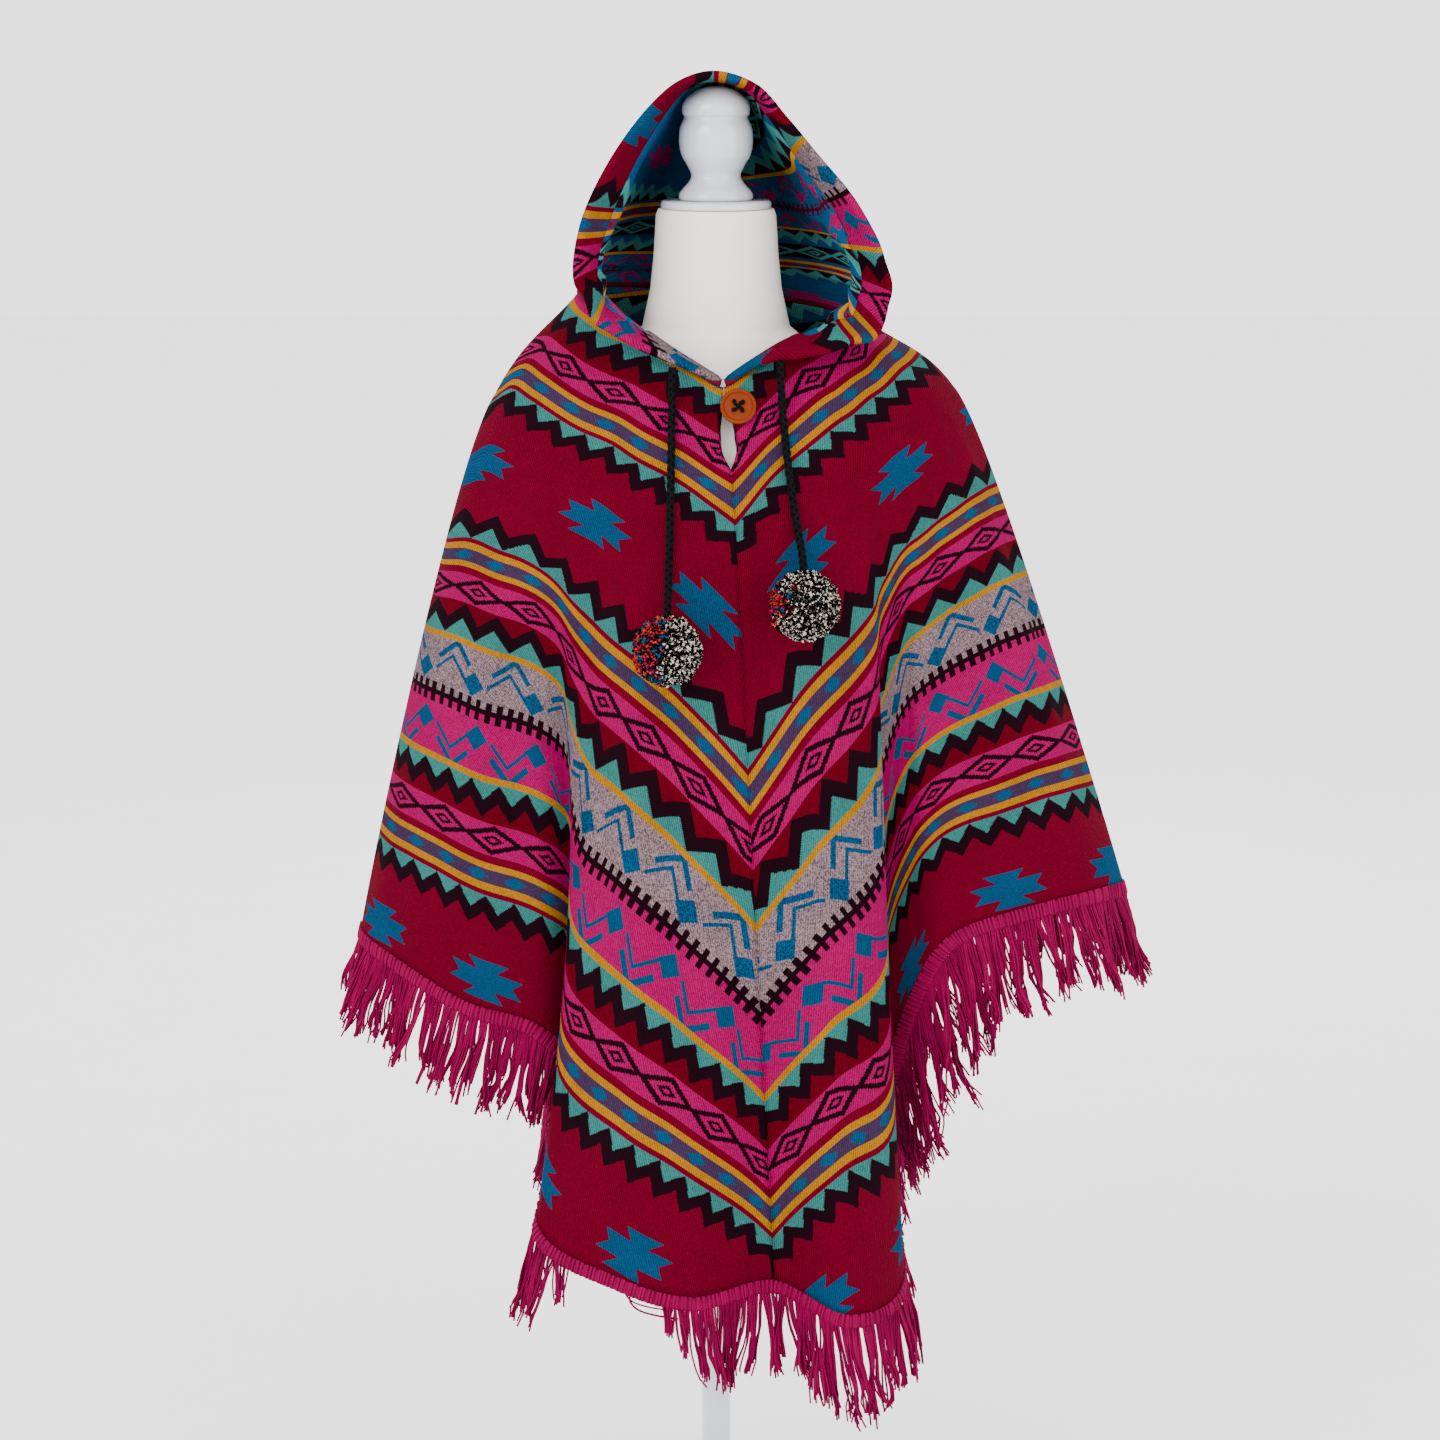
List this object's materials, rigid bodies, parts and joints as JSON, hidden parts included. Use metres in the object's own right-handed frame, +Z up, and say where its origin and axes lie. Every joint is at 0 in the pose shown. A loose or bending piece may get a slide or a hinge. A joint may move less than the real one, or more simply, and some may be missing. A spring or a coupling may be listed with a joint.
{
  "type": "hooded poncho on a dress form and stand",
  "caption": "Hooded wool poncho with pointed, fringed hems, a drawcord with pompoms and a buttoned neck slit, draped on a limbless dress form with a round stand.",
  "frame": {"origin": "middle of the underside of the stand's base, on the floor", "axes": "+Z up, -Y the way the poncho's front faces, +X to the right as seen from the front"},
  "size_m": [0.6981, 0.4329, 1.3181],
  "materials": {
    "woven_wool": "matte patterned wool",
    "fringe_yarn": "matte magenta yarn",
    "black_braid": "matte braided cord",
    "pompom_yarn": "mixed yarn, mostly black and white",
    "stained_wood": "orange stain under a thin varnish",
    "form_cover": "smooth off-white cover",
    "form_gloss": "glossy white",
    "stand_paint": "satin white paint"
  },
  "bodies": {
    "root": {"front_right_panel": "woven_wool", "back_right_panel": "woven_wool", "back_left_panel": "woven_wool", "front_left_panel": "woven_wool", "hood": "woven_wool", "front_right_fringe": "fringe_yarn", "back_right_fringe": "fringe_yarn", "back_left_fringe": "fringe_yarn", "front_left_fringe": "fringe_yarn", "drawcord_left": "black_braid", "drawcord_right": "black_braid", "pompom_left": "pompom_yarn", "pompom_right": "pompom_yarn", "button": "stained_wood", "form_torso": "form_cover", "neck_cap": "form_gloss", "finial": "form_gloss", "stand_base": "stand_paint", "stand_pole": "stand_paint"}
  },
  "joints": []
}
